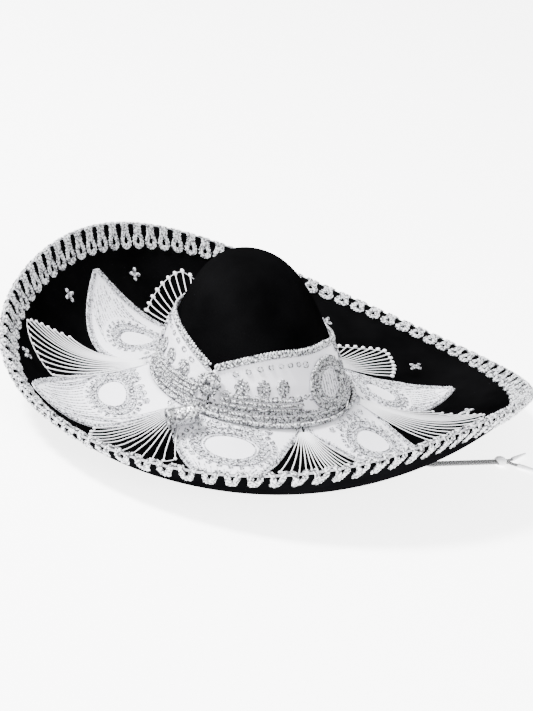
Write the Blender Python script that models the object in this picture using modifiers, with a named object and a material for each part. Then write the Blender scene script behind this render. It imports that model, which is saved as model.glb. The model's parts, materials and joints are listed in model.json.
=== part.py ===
"""Wide-brimmed charro sombrero: black velvet, white satin petals and silver trim.

Metres, +Z up. The wearer faces -Y. The origin is under the middle of the brim, on the table.
"""
import math

import bmesh
import bpy
from mathutils import Matrix, Vector

# Crown
CROWN_HALF_WIDTH = 0.091
CROWN_HALF_LENGTH = 0.108
CROWN_HEIGHT = 0.1323
CROWN_LEAN = (-0.0275, -0.0097)
CROWN_RISE_POWER = 1.0
CROWN_WIDTH_POWER = 2.6
CROWN_THICKNESS = 0.0025
LINING_EASE = 0.0016
AROUND_CROWN = 36

# Brim outline and height of its edge above the foot of the crown
BRIM_MEAN_RADIUS = 0.267
BRIM_OVAL = -0.089
BRIM_BACK_REACH = 0.073
RIM_MEAN_HEIGHT = 0.035
RIM_SIDE_HEIGHT = 0.0307
RIM_FRONT_RISE = 0.004
RIM_CORNER_RISE = 0.0048
CURL_POWER = 3.75
CHANNEL_DEPTH = 0.026
CHANNEL_SIDE_LOSS = 0.006
TABLE_PRESS = 0.0018
AROUND_BRIM = 60

# Layers of the brim, as heights above its underside
UNDER_THICKNESS = 0.0018
TOP_LIFT = 0.0022
TOP_THICKNESS = 0.0020
TRIM_LIFT = 0.0060
TRIM_THICKNESS = 0.0009
GAP = 0.0003

# Edge braid and wire
BRAID_DEPTH = 0.020
BRAID_THICKNESS = 0.0012
BRAID_REACH = 0.0046
BRAID_UNDER_DROP = 0.0012
WIRE_RADIUS = 0.0011
WIRE_REACH = 0.0018

# Satin petals, thread fans and small flowers
# Each petal: direction of its middle in degrees, how far its tip swings, where it ends, half width
PETALS = ((11.0, -6.0, 0.80, 0.049), (64.0, -1.0, 0.745, 0.048), (119.0, 2.0, 0.78, 0.048),
          (184.0, -9.0, 0.86, 0.058), (237.0, 7.0, 0.84, 0.050), (296.0, 2.0, 0.74, 0.050))
PETAL_START = 0.055
PETAL_TAPER = 2.6
PETAL_SECTOR = 26.0
# Each fan: direction, half angle in degrees, where its middle and its sides end
FANS = ((39.5, 12.5, 0.79, 0.53), (88.0, 11.0, 0.70, 0.50), (145.0, 16.5, 0.83, 0.59),
        (216.5, 12.5, 0.88, 0.64), (267.0, 13.5, 0.76, 0.44), (332.0, 14.0, 0.76, 0.42))
FAN_START = 0.12
FAN_ROOT = 2.0
FAN_ARCH = 1.4
FLOWER_RADIUS = 0.0065
FLOWER_SHARES = (0.78, 0.72, 0.76, 0.815, 0.838, 0.80)
FLOWER_TURN = 15.0

# Band, cords and ornaments on the crown
FRONT = math.radians(-80)
BAND_LIFT = 0.0004
BAND_THICKNESS = 0.0012
BAND_FOOT = 0.0095
BAND_NOTCH_TOP = 0.041
BAND_SIDE_TOP = 0.064
BAND_NOTCH_WIDTH = 50.0
BAND_SEAM = 0.6
BRAID_SEAM = 2.0
EDGE_BRAID_RADIUS = 0.0026
FOOT_CORD_RADIUS = 0.0024
ROPE_RADIUS = 0.0028
ROPE_HEIGHT = 0.021
ROPE_FROM = 9.5
ROPE_TO = 52.0
MEDAL_HALF_WIDTH = 0.036
MEDAL_HALF_HEIGHT = 0.0225
MEDAL_HEIGHT = 0.033
MEDAL_THICKNESS = 0.0022
MEDAL_AWAY = 88.0
ROSETTE_RADIUS = 0.0085
ROSETTE_ROUND = 0.0034
ROSETTE_HEIGHT = 0.030
TASSEL_RADIUS = 0.0100
TASSEL_LENGTH = 0.030
TASSEL_FROM = 0.0130
TASSEL_HEADING = 35.0

# Chin cords, slider bead and tips
STRAP_RADIUS = 0.0017
STRAP_FLOOR_Z = 0.0021
STRAP_BEAD_Z = 0.0039
STRAP_SPREAD = 0.0021
STRAP_POINTS = 64
BEAD_PLACE = (0.2182, 0.1322)
BEAD_HEADING = 62.0
BEAD_HALF = (0.0066, 0.0062, 0.0045)
BEAD_HOLE = (0.0046, 0.0025)
BEAD_LIFT = 0.0010
BEAD_RUN = 0.075
TIP_LENGTH = 0.026
TIP_DROP = 0.0008
TIP_RADII = (0.0023, 0.0009)
ANCHOR_SIZE = (0.0030, 0.0120, 0.0100)

BLACK = (0.012, 0.012, 0.014)
SATIN = (0.83, 0.82, 0.88)
SILVER = (0.70, 0.71, 0.74)
THREAD = (0.88, 0.88, 0.90)


def crown_radius(turn):
    """Plan radius of the crown's foot, an oval longer from front to back."""
    across = CROWN_HALF_LENGTH * math.cos(turn)
    along = CROWN_HALF_WIDTH * math.sin(turn)
    return CROWN_HALF_WIDTH * CROWN_HALF_LENGTH / math.hypot(across, along)


def brim_radius(turn):
    return BRIM_MEAN_RADIUS * (1 + BRIM_OVAL * math.cos(2 * turn) + BRIM_BACK_REACH * math.sin(turn))


def brim_rise(turn, share):
    """Height of the brim's underside above the foot of the crown."""
    rim = RIM_MEAN_HEIGHT + RIM_SIDE_HEIGHT * math.cos(2 * turn)
    rim += RIM_CORNER_RISE * math.sin(3 * turn) - RIM_FRONT_RISE * math.sin(turn)
    channel = CHANNEL_DEPTH - CHANNEL_SIDE_LOSS * (1 + math.cos(2 * turn)) / 2
    return rim * max(share, 0.0) ** CURL_POWER - channel * math.sin(math.pi * share)


def lowest_rise():
    steps = 90
    samples = [(i * math.tau / steps, j / steps) for i in range(steps) for j in range(steps + 1)]
    return min(brim_rise(turn, share) for turn, share in samples)


FOOT_Z = -lowest_rise() - TABLE_PRESS
CROWN_Y = (brim_radius(-math.pi / 2) - brim_radius(math.pi / 2)) / 2


def place(x, y, z):
    """A point given from the crown's centre line, in the hat's own frame."""
    return Vector((x, y + CROWN_Y, z))


def brim_base(turn, share):
    radius = crown_radius(turn) + (brim_radius(turn) - crown_radius(turn)) * share
    height = max(FOOT_Z + brim_rise(turn, share), 0.0)
    return place(radius * math.cos(turn), radius * math.sin(turn), height)


def brim_frame(turn, share):
    """Point on the underside with its outward tangent and upward normal."""
    step = 0.01
    inner = brim_base(turn, share - step)
    outer = brim_base(turn, share + step)
    outward = (outer - inner).normalized()
    sideways = (brim_base(turn + step, share) - brim_base(turn - step, share)).normalized()
    return brim_base(turn, share), outward, outward.cross(sideways).normalized()


def brim_point(turn, share, lift, reach=0.0):
    point, outward, normal = brim_frame(turn, share)
    return point + normal * lift + outward * reach


def brim_width(turn):
    """Length of the brim's slope from crown to edge."""
    steps = 24
    points = [brim_base(turn, i / steps) for i in range(steps + 1)]
    return sum((b - a).length for a, b in zip(points, points[1:]))


def crown_base(turn, height, inset=0.0):
    level = min(max(height / (CROWN_HEIGHT - inset), 0.0), 1.0)
    radius = (crown_radius(turn) - inset) * (1 - level ** CROWN_RISE_POWER) ** (1 / CROWN_WIDTH_POWER)
    x = radius * math.cos(turn) + CROWN_LEAN[0] * level
    y = radius * math.sin(turn) + CROWN_LEAN[1] * level
    return place(x, y, FOOT_Z + height)


def crown_point(turn, height, lift):
    """Point at a height on the crown's side, lifted off its surface."""
    step = 0.002
    upward = crown_base(turn, height + step) - crown_base(turn, max(height - step, 0.0))
    sideways = crown_base(turn + 0.01, height) - crown_base(turn - 0.01, height)
    return crown_base(turn, height) + sideways.cross(upward).normalized() * lift


def clear_scene():
    for item in list(bpy.data.objects):
        bpy.data.objects.remove(item, do_unlink=True)


def new_collection(name):
    group = bpy.data.collections.new(name)
    bpy.context.scene.collection.children.link(group)
    return group


def material(name, color, roughness, metallic=0.0):
    surface = bpy.data.materials.get(name) or bpy.data.materials.new(name)
    surface.use_nodes = True
    shader = surface.node_tree.nodes["Principled BSDF"]
    shader.inputs["Base Color"].default_value = (*color, 1.0)
    shader.inputs["Roughness"].default_value = roughness
    shader.inputs["Metallic"].default_value = metallic
    return surface


def add_part(name, data, surface):
    part = bpy.data.objects.new(name, data)
    bpy.data.collections["sombrero"].objects.link(part)
    data.materials.clear()
    data.materials.append(surface)
    return part


def solidify(part, thickness, offset):
    shell = part.modifiers.new("Thickness", "SOLIDIFY")
    shell.thickness = thickness
    shell.offset = offset
    return part


def sheet(name, rows, closed, surface, thickness, offset=1.0, cap=None):
    """Shell lofted through rows of points. Its normals face the side that is up or outside."""
    mesh = bmesh.new()
    grid = [[mesh.verts.new(point) for point in row] for row in rows]
    count = len(rows[0])
    for lower, upper in zip(grid, grid[1:]):
        for i in range(count if closed else count - 1):
            j = (i + 1) % count
            mesh.faces.new((lower[i], lower[j], upper[j], upper[i]))
    if cap is not None:
        top = mesh.verts.new(cap)
        for i in range(count):
            mesh.faces.new((grid[-1][i], grid[-1][(i + 1) % count], top))
    data = bpy.data.meshes.new(name)
    mesh.to_mesh(data)
    mesh.free()
    data.shade_smooth()
    return solidify(add_part(name, data, surface), thickness, offset)


def ring_turns(count):
    return [i * math.tau / count for i in range(count)]


def dome_rows(inset, top_level, rows):
    """Rings up the crown from its foot, for a shell drawn in by an inset."""
    height = CROWN_HEIGHT - inset
    turns = ring_turns(AROUND_CROWN)
    levels = [height * math.sin(i / rows * top_level * math.pi / 2) ** (2 / CROWN_RISE_POWER)
              for i in range(rows)]
    return [[crown_base(turn, level, inset) for turn in turns] for level in levels]


def build_crown():
    velvet = material("black_velvet", BLACK, 0.9)
    outside = GAP * 2
    top = crown_base(0.0, CROWN_HEIGHT - outside, outside)
    sheet("crown_shell", dome_rows(outside, 1.0, 8), True, velvet, CROWN_THICKNESS, -1.0, cap=top)


def build_lining():
    cloth = material("lining_cloth", (0.10, 0.10, 0.11), 0.8)
    leather = material("sweatband_leather", (0.16, 0.09, 0.05), 0.55)
    inset = GAP * 4 + CROWN_THICKNESS + LINING_EASE
    top = crown_base(0.0, CROWN_HEIGHT - inset, inset)
    sheet("crown_lining", dome_rows(inset, 1.0, 8), True, cloth, 0.0008, -1.0, cap=top)
    inset += 0.0008 + GAP * 2
    turns = ring_turns(AROUND_CROWN)
    rows = [[crown_base(turn, height, inset) for turn in turns] for height in (0.0, 0.014, 0.028)]
    sheet("sweatband", rows, True, leather, 0.0014, -1.0)


def brim_rows(lift, shares):
    """Rings from the edge inwards, so that the sheet's normals face up."""
    turns = ring_turns(AROUND_BRIM)
    return [[brim_point(turn, share, lift) for turn in turns] for share in reversed(shares)]


def build_brim():
    velvet = material("black_velvet", BLACK, 0.9)
    under = material("brim_lining", (0.015, 0.015, 0.017), 0.85)
    shares = [0.0, 0.15, 0.30, 0.44, 0.52, 0.67, 0.80, 0.91, 1.0]
    sheet("brim_under", brim_rows(0.0, shares), True, under, UNDER_THICKNESS)
    sheet("brim_top", brim_rows(TOP_LIFT, shares), True, velvet, TOP_THICKNESS)


def tube(name, points, radius, surface, closed=False, sides=2):
    """Round bar along a list of points; sides is Blender's bevel resolution."""
    curve = bpy.data.curves.new(name, "CURVE")
    curve.dimensions = "3D"
    curve.bevel_depth = radius
    curve.bevel_resolution = sides
    curve.use_fill_caps = True
    spline = curve.splines.new("POLY")
    spline.points.add(len(points) - 1)
    for target, point in zip(spline.points, points):
        target.co = (*point, 1.0)
    spline.use_cyclic_u = closed
    return add_part(name, curve, surface)


def build_edge():
    """Wire sewn into the edge, and the silver braid folded over it."""
    steel = material("edge_wire", (0.5, 0.5, 0.52), 0.35, 1.0)
    silver = material("silver_braid", SILVER, 0.4, 0.6)
    middle = (TOP_LIFT + UNDER_THICKNESS) / 2
    wire = [brim_point(turn, 1.0, middle, WIRE_REACH) for turn in ring_turns(AROUND_BRIM)]
    tube("rim_wire", wire, WIRE_RADIUS, steel, closed=True, sides=1)

    turns = ring_turns(AROUND_BRIM)
    under = -BRAID_UNDER_DROP
    over = TRIM_LIFT
    rows = []
    for depth, lift, reach in (
            (BRAID_DEPTH, under, 0.0),
            (0.0, under, 0.0),
            (0.0, middle, BRAID_REACH),
            (0.0, over, 0.0),
            (BRAID_DEPTH, over, 0.0)):
        rows.append([brim_point(turn, 1.0 - depth / brim_width(turn), lift, reach) for turn in turns])
    sheet("rim_braid", rows, True, silver, BRAID_THICKNESS)


def brim_patch(name, outline, rows, columns, lift, surface):
    """Sheet on the brim; outline gives turn and share for places along and across it."""
    lines = []
    for i in range(rows + 1):
        places = [outline(1 - i / rows, 2 * j / columns - 1) for j in range(columns + 1)]
        lines.append([brim_point(turn, share, lift) for turn, share in places])
    return sheet(name, lines, False, surface, TRIM_THICKNESS)


def petal_outline(middle, swing, end, half_width):
    """Wide petal that tapers to its tip and stays inside its sector near the crown."""
    def outline(along, across):
        share = PETAL_START + (end - PETAL_START) * along
        turn = math.radians(middle + swing * share)
        radius = crown_radius(turn) + (brim_radius(turn) - crown_radius(turn)) * share
        taper = 1 - (share / (end + 0.015)) ** PETAL_TAPER
        spread = min(half_width * taper / radius, math.radians(PETAL_SECTOR))
        return turn + spread * across, share
    return outline


def build_petals():
    satin = material("white_satin", SATIN, 0.35)
    for i, petal in enumerate(PETALS):
        brim_patch(f"petal_{i + 1}", petal_outline(*petal), 8, 6, TRIM_LIFT, satin)


def fan_outline(middle, half_angle, end, side_end):
    """Fan of threads whose outer ends follow a pointed arch."""
    def outline(along, across):
        reach = end - (end - side_end) * abs(across) ** FAN_ARCH
        share = FAN_START + (reach - FAN_START) * along
        spread = FAN_ROOT + (half_angle - FAN_ROOT) * along
        return math.radians(middle + spread * across), share
    return outline


def build_fans():
    thread = material("white_thread", THREAD, 0.6)
    lift = TRIM_LIFT + TRIM_THICKNESS + GAP
    for i, fan in enumerate(FANS):
        brim_patch(f"thread_fan_{i + 1}", fan_outline(*fan), 6, 6, lift, thread)


def flower_outline(count):
    """Points round a flower of four petals."""
    points = []
    for i in range(count):
        angle = i * math.tau / count
        points.append((angle, FLOWER_RADIUS * (0.66 + 0.34 * math.cos(4 * angle))))
    return points


def build_flowers():
    silver = material("silver_thread", SILVER, 0.4, 0.5)
    outline = flower_outline(16)
    for i in range(2 * len(PETALS)):
        side = -1 if i % 2 == 0 else 1
        middle, swing, end, _ = PETALS[i // 2]
        turn = math.radians(middle + swing * end + side * FLOWER_TURN)
        centre, outward, normal = brim_frame(turn, FLOWER_SHARES[i // 2])
        sideways = normal.cross(outward)
        mesh = bmesh.new()
        ring = [mesh.verts.new(centre + normal * TRIM_LIFT
                               + outward * radius * math.cos(angle)
                               + sideways * radius * math.sin(angle)) for angle, radius in outline]
        mesh.faces.new(ring)
        data = bpy.data.meshes.new(f"flower_{i + 1:02d}")
        mesh.to_mesh(data)
        mesh.free()
        solidify(add_part(data.name, data, silver), TRIM_THICKNESS, 1.0)


def band_top(turn):
    """Height of the band's top edge: a V at the front, level round the sides and back."""
    away = abs((math.degrees(turn - FRONT) + 180.0) % 360.0 - 180.0)
    rise = math.sin(math.pi / 2 * min(away / BAND_NOTCH_WIDTH, 1.0)) ** 0.8
    return BAND_NOTCH_TOP + (BAND_SIDE_TOP - BAND_NOTCH_TOP) * rise


def half_turns(side, count, seam_degrees):
    """Turns from the front seam to the back seam, round one side of the crown."""
    seam = math.radians(seam_degrees)
    start = FRONT + side * seam
    sweep = side * (math.pi - 2 * seam)
    return [start + sweep * i / count for i in range(count + 1)]


def build_band():
    satin = material("band_satin", SATIN, 0.3)
    silver = material("silver_braid", SILVER, 0.4, 0.6)
    for side, label in ((1, "left"), (-1, "right")):
        turns = half_turns(side, 20, BAND_SEAM)
        if side < 0:
            turns.reverse()
        rows = [[crown_point(turn, BAND_FOOT + (band_top(turn) - BAND_FOOT) * level, BAND_LIFT)
                 for turn in turns] for level in (0.0, 0.25, 0.5, 0.75, 1.0)]
        sheet(f"hatband_{label}", rows, False, satin, BAND_THICKNESS)
        edge = [crown_point(turn, band_top(turn) + EDGE_BRAID_RADIUS + GAP,
                            EDGE_BRAID_RADIUS + GAP * 3) for turn in half_turns(side, 30, BRAID_SEAM)]
        tube(f"band_braid_{label}", edge, EDGE_BRAID_RADIUS, silver, sides=1)


def build_foot_cord():
    silver = material("silver_cord", SILVER, 0.4, 0.6)
    reach = BAND_LIFT + BAND_THICKNESS + GAP + FOOT_CORD_RADIUS
    height = TOP_LIFT + TOP_THICKNESS + GAP * 2 + FOOT_CORD_RADIUS
    loop = [crown_base(turn, 0.0, -reach) + Vector((0, 0, height)) for turn in ring_turns(48)]
    tube("band_foot_cord", loop, FOOT_CORD_RADIUS, silver, closed=True, sides=1)


def build_ropes():
    silver = material("silver_rope", SILVER, 0.4, 0.6)
    lift = BAND_LIFT + BAND_THICKNESS + GAP * 3 + ROPE_RADIUS
    for side, label in ((1, "left"), (-1, "right")):
        turns = [FRONT + side * math.radians(ROPE_FROM + (ROPE_TO - ROPE_FROM) * i / 12)
                 for i in range(13)]
        points = [crown_point(turn, ROPE_HEIGHT, lift) for turn in turns]
        tube(f"band_rope_{label}", points, ROPE_RADIUS, silver, sides=1)


def build_medals():
    silver = material("medallion_silver", SILVER, 0.35, 0.6)
    lift = BAND_LIFT + BAND_THICKNESS + GAP * 3
    for side, label in ((1, "left"), (-1, "right")):
        middle = FRONT + side * math.radians(MEDAL_AWAY)
        rows = []
        for level in (1.0, 0.66, 0.33):
            row = []
            for angle in ring_turns(20):
                spread = level * MEDAL_HALF_WIDTH * math.cos(angle) / CROWN_HALF_WIDTH
                height = MEDAL_HEIGHT + level * MEDAL_HALF_HEIGHT * math.sin(angle)
                row.append(crown_point(middle + spread, height, lift))
            rows.append(row)
        centre = crown_point(middle, MEDAL_HEIGHT, lift)
        sheet(f"medallion_{label}", rows, True, silver, MEDAL_THICKNESS, cap=centre)


def turned(name, profile, steps, surface):
    """Solid of revolution about local Z, from a profile that starts and ends on the axis."""
    mesh = bmesh.new()
    line = [mesh.verts.new((radius, 0.0, height)) for radius, height in profile]
    for first, second in zip(line, line[1:]):
        mesh.edges.new((first, second))
    data = bpy.data.meshes.new(name)
    mesh.to_mesh(data)
    mesh.free()
    part = add_part(name, data, surface)
    screw = part.modifiers.new("Turn", "SCREW")
    screw.steps = steps
    screw.render_steps = steps
    screw.use_merge_vertices = True
    screw.merge_threshold = 0.00001
    return part


def brim_at(turn, reach, shift, lift):
    """Point on the brim a distance out from the crown along a turn, then shifted in plan."""
    radius = crown_radius(turn) + reach
    x = radius * math.cos(turn) + shift[0]
    y = radius * math.sin(turn) + shift[1]
    turn = math.atan2(y, x)
    share = (math.hypot(x, y) - crown_radius(turn)) / (brim_radius(turn) - crown_radius(turn))
    return brim_point(turn, share, lift)


def tassel_seat():
    """Where the barrel rests in front of the crown: a chord over the brim's hollow."""
    lift = TRIM_LIFT + 2 * TRIM_THICKNESS + GAP * 4
    turned = math.radians(TASSEL_HEADING)
    heading = Vector((-math.sin(turned), -math.cos(turned)))
    inner = brim_at(FRONT, TASSEL_FROM, (0.0, 0.0), lift)
    outer = brim_at(FRONT, TASSEL_FROM, heading * TASSEL_LENGTH, lift)
    outward = (outer - inner).normalized()
    side = Vector((-heading.y, heading.x, 0.0))
    return inner, outward, outward.cross(side).normalized()


def build_rosette():
    silver = material("silver_cord", SILVER, 0.4, 0.6)
    lift = BAND_LIFT + BAND_THICKNESS + GAP * 3 + ROSETTE_ROUND
    centre = crown_point(FRONT, ROSETTE_HEIGHT, lift)
    normal = (centre - crown_point(FRONT, ROSETTE_HEIGHT, 0.0)).normalized()
    bpy.ops.mesh.primitive_torus_add(major_radius=ROSETTE_RADIUS, minor_radius=ROSETTE_ROUND,
                                     major_segments=18, minor_segments=8)
    part = bpy.context.object
    data = part.data
    bpy.data.objects.remove(part, do_unlink=True)
    part = add_part("rosette_knot", data, silver)
    data.shade_smooth()
    part.matrix_world = Matrix.Translation(centre) @ normal.to_track_quat("Z", "Y").to_matrix().to_4x4()


def build_tassel():
    """Rolled lamé barrel that hinges at the top of its inner end, under the knot."""
    lame = material("lame_roll", SILVER, 0.45, 0.4)
    point, outward, normal = tassel_seat()
    lip = TASSEL_RADIUS
    end = TASSEL_LENGTH
    profile = [(0.0, end - 0.006), (lip * 0.42, end - 0.005), (lip * 0.50, end - 0.0004),
               (lip * 0.66, end), (lip * 0.90, end - 0.0015), (lip, end - 0.005),
               (lip * 0.93, end * 0.5), (lip, 0.005), (lip * 0.86, 0.0012), (lip * 0.5, 0.0),
               (0.0, 0.0)]
    part = turned("tassel_barrel", profile, 20, lame)
    place_top = point + normal * 2 * TASSEL_RADIUS
    side = outward.cross(normal)
    basis = Matrix((side, normal * -1.0, outward)).transposed()
    pivot = bpy.data.objects.new("tassel_pivot", None)
    bpy.data.collections["sombrero"].objects.link(pivot)
    pivot.matrix_world = Matrix.Translation(place_top) @ basis.to_4x4()
    part.parent = pivot
    part.location = (0.0, TASSEL_RADIUS, 0.0)


def smooth_route(knots, count):
    """Evenly spaced points of a Catmull-Rom curve through the route's own points."""
    ends = [knots[0] * 2 - knots[1], *knots, knots[-1] * 2 - knots[-2]]
    fine = []
    for before, start, stop, after in zip(ends, ends[1:], ends[2:], ends[3:]):
        for i in range(24):
            t = i / 24
            fine.append(0.5 * (2 * start + (stop - before) * t
                               + (2 * before - 5 * start + 4 * stop - after) * t ** 2
                               + (3 * start - before - 3 * stop + after) * t ** 3))
    fine.append(knots[-1])
    run = [0.0]
    for first, second in zip(fine, fine[1:]):
        run.append(run[-1] + (second - first).length)
    points = []
    place_at = 0
    for i in range(count):
        target = run[-1] * i / (count - 1)
        while place_at < len(run) - 2 and run[place_at + 1] < target:
            place_at += 1
        part = (target - run[place_at]) / (run[place_at + 1] - run[place_at])
        points.append(fine[place_at].lerp(fine[place_at + 1], min(part, 1.0)))
    return points


def bead_frame():
    heading = math.radians(BEAD_HEADING)
    along = Vector((math.cos(heading), math.sin(heading), 0.0))
    across = Vector((along.y, -along.x, 0.0))
    return place(*BEAD_PLACE, STRAP_BEAD_Z), along, across


def bead_side(run, sideways, drop=0.0):
    """Point near the bead, measured along the cords, across them and down."""
    centre, along, across = bead_frame()
    return centre + along * run + across * sideways - Vector((0, 0, drop))


def strap_routes():
    """Hand-laid routes of the two chin cords, from the sweatband to the tips."""
    floor = STRAP_FLOOR_Z
    spread = STRAP_SPREAD
    left = [place(0.0770, 0.0, FOOT_Z - 0.0065), place(0.0770, 0.0005, FOOT_Z - 0.012),
            place(0.0770, 0.012, 0.0045), place(0.072, 0.035, floor), place(0.045, 0.064, floor),
            place(0.010, 0.070, floor), place(-0.008, 0.052, floor), place(0.010, 0.028, floor),
            place(0.045, 0.006, floor), place(0.080, -0.006, floor), place(0.110, 0.010, floor),
            place(0.145, 0.036, floor), bead_side(-BEAD_RUN - 0.010, -spread - 0.0003),
            bead_side(-BEAD_RUN, -spread), bead_side(-BEAD_RUN / 2, -spread),
            bead_side(0.0, -spread), bead_side(0.008, -spread), bead_side(0.014, -0.0034, TIP_DROP),
            bead_side(0.018, -0.0050, TIP_DROP)]
    right = [place(-0.0808, 0.0, FOOT_Z - 0.0065), place(-0.0808, -0.0005, FOOT_Z - 0.012),
             place(-0.0800, -0.012, 0.0045), place(-0.070, -0.040, floor),
             place(-0.042, -0.074, floor), place(0.0, -0.086, floor), place(0.042, -0.074, floor),
             place(0.070, -0.044, floor), place(0.090, -0.016, floor), place(0.117, 0.005, floor),
             place(0.151, 0.032, floor), bead_side(-BEAD_RUN - 0.010, spread + 0.0003),
             bead_side(-BEAD_RUN, spread), bead_side(-BEAD_RUN / 2, spread),
             bead_side(0.0, spread), bead_side(0.008, spread), bead_side(0.013, 0.0042, TIP_DROP),
             bead_side(0.0165, 0.0070, TIP_DROP)]
    return left, right


def build_straps():
    braid = material("chin_cord", (0.18, 0.18, 0.19), 0.75)
    leather = material("anchor_leather", (0.05, 0.05, 0.055), 0.6)
    white = material("cord_tip", (0.85, 0.85, 0.86), 0.5)
    for label, route, side in zip(("left", "right"), strap_routes(), (1, -1)):
        points = smooth_route(route, STRAP_POINTS)
        tube(f"chin_cord_{label}", points, STRAP_RADIUS, braid)

        bpy.ops.mesh.primitive_cube_add(size=1.0)
        tab = bpy.context.object
        data = tab.data
        bpy.data.objects.remove(tab, do_unlink=True)
        data.transform(Matrix.Diagonal((*ANCHOR_SIZE, 1.0)))
        tab = add_part(f"cord_anchor_{label}", data, leather)
        start = route[0]
        tab.location = (start.x, start.y, start.z + GAP * 2 + ANCHOR_SIZE[2] / 2)

        heading = (points[-1] - points[-2]).normalized()
        wide, narrow = TIP_RADII
        profile = [(0.0, TIP_LENGTH), (narrow * 0.7, TIP_LENGTH - 0.0003),
                   (narrow, TIP_LENGTH - 0.001), (wide, 0.004), (wide * 0.9, 0.0), (0.0, 0.0)]
        tip = turned(f"cord_tip_{label}", profile, 12, white)
        start = points[-1] + heading * GAP
        tip.matrix_world = (Matrix.Translation(start)
                            @ heading.to_track_quat("Z", "Y").to_matrix().to_4x4())


def build_bead():
    """Slider bead with one oval hole that both cords pass through."""
    white = material("slider_bead", (0.86, 0.86, 0.87), 0.35)
    centre, along, across = bead_frame()
    basis = Matrix((along, across, along.cross(across))).transposed().to_4x4()
    mesh = bmesh.new()
    bmesh.ops.create_uvsphere(mesh, u_segments=20, v_segments=10, radius=1.0)
    mesh.transform(Matrix.Diagonal((BEAD_HALF[2], BEAD_HALF[1], BEAD_HALF[0], 1.0)))
    mesh.transform(Matrix.Rotation(math.pi / 2, 4, "Y"))
    data = bpy.data.meshes.new("slider_bead")
    mesh.to_mesh(data)
    mesh.free()
    data.shade_smooth()
    bead = add_part("slider_bead", data, white)
    bead.matrix_world = Matrix.Translation(centre + Vector((0, 0, BEAD_LIFT))) @ basis

    mesh = bmesh.new()
    bmesh.ops.create_cone(mesh, cap_ends=True, segments=20, radius1=1.0, radius2=1.0, depth=0.04)
    mesh.transform(Matrix.Diagonal((BEAD_HOLE[1], BEAD_HOLE[0], 1.0, 1.0)))
    mesh.transform(Matrix.Rotation(math.pi / 2, 4, "Y"))
    data = bpy.data.meshes.new("bead_hole")
    mesh.to_mesh(data)
    mesh.free()
    cutter = bpy.data.objects.new("bead_hole", data)
    bpy.data.collections["cutters"].objects.link(cutter)
    cutter.matrix_world = Matrix.Translation(centre) @ basis
    cutter.hide_render = True
    cutter.display_type = "WIRE"
    cut = bead.modifiers.new("Hole", "BOOLEAN")
    cut.operation = "DIFFERENCE"
    cut.object = cutter


def main():
    clear_scene()
    new_collection("sombrero")
    new_collection("cutters")
    build_crown()
    build_lining()
    build_brim()
    build_edge()
    build_petals()
    build_fans()
    build_flowers()
    build_band()
    build_foot_cord()
    build_ropes()
    build_medals()
    build_rosette()
    build_tassel()
    build_straps()
    build_bead()


main()
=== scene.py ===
import json
import math

import bpy
import numpy as np
from mathutils import Matrix, Vector


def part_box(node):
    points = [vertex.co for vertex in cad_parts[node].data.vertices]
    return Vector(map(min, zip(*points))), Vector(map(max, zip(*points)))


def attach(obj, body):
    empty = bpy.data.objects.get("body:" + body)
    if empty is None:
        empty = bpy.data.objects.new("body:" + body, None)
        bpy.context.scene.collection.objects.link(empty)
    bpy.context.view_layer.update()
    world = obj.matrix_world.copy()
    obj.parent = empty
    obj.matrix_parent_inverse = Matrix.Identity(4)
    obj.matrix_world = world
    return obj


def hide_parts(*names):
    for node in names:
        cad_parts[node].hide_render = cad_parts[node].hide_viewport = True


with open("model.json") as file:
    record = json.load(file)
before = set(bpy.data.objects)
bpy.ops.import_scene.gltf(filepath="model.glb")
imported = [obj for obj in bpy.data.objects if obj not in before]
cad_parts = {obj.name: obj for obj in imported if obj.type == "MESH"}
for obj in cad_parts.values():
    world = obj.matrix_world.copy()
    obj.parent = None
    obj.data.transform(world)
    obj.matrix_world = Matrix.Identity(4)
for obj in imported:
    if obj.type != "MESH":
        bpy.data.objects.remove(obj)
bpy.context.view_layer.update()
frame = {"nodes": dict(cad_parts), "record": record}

# The hat's own surface: an oval crown on a brim that dips round it and curls up at the sides.
hat = {
    "crownHalfWidth": 0.091, "crownHalfLength": 0.108, "crownHeight": 0.1323,
    "crownLean": (-0.0275, -0.0097), "risePower": 1.0, "widthPower": 2.6,
    "brimMean": 0.267, "brimOval": -0.089, "brimBack": 0.073,
    "rimMean": 0.035, "rimSide": 0.0307, "rimFront": 0.004, "rimCorner": 0.0048,
    "curl": 3.75, "channel": 0.026, "channelSide": 0.006, "press": 0.0018,
    "underLayer": 0.0018, "topLift": 0.0022, "topLayer": 0.0020,
}
front = math.radians(-80)


def footRadius(turn):
    across = hat["crownHalfLength"] * np.cos(turn)
    along = hat["crownHalfWidth"] * np.sin(turn)
    return hat["crownHalfWidth"] * hat["crownHalfLength"] / np.hypot(across, along)


def brimRadius(turn):
    return hat["brimMean"] * (1 + hat["brimOval"] * np.cos(2 * turn) + hat["brimBack"] * np.sin(turn))


def brimRise(turn, share):
    rim = hat["rimMean"] + hat["rimSide"] * np.cos(2 * turn)
    rim = rim + hat["rimCorner"] * np.sin(3 * turn) - hat["rimFront"] * np.sin(turn)
    channel = hat["channel"] - hat["channelSide"] * (1 + np.cos(2 * turn)) / 2
    return rim * np.maximum(share, 0) ** hat["curl"] - channel * np.sin(math.pi * share)


turnGrid, shareGrid = np.meshgrid(np.arange(90) * math.tau / 90, np.arange(91) / 90)
footZ = -float(brimRise(turnGrid, shareGrid).min()) - hat["press"]
crownY = float(brimRadius(-math.pi / 2) - brimRadius(math.pi / 2)) / 2


def unit(vectors):
    return vectors / np.maximum(np.linalg.norm(vectors, axis=-1, keepdims=True), 1e-12)


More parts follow.
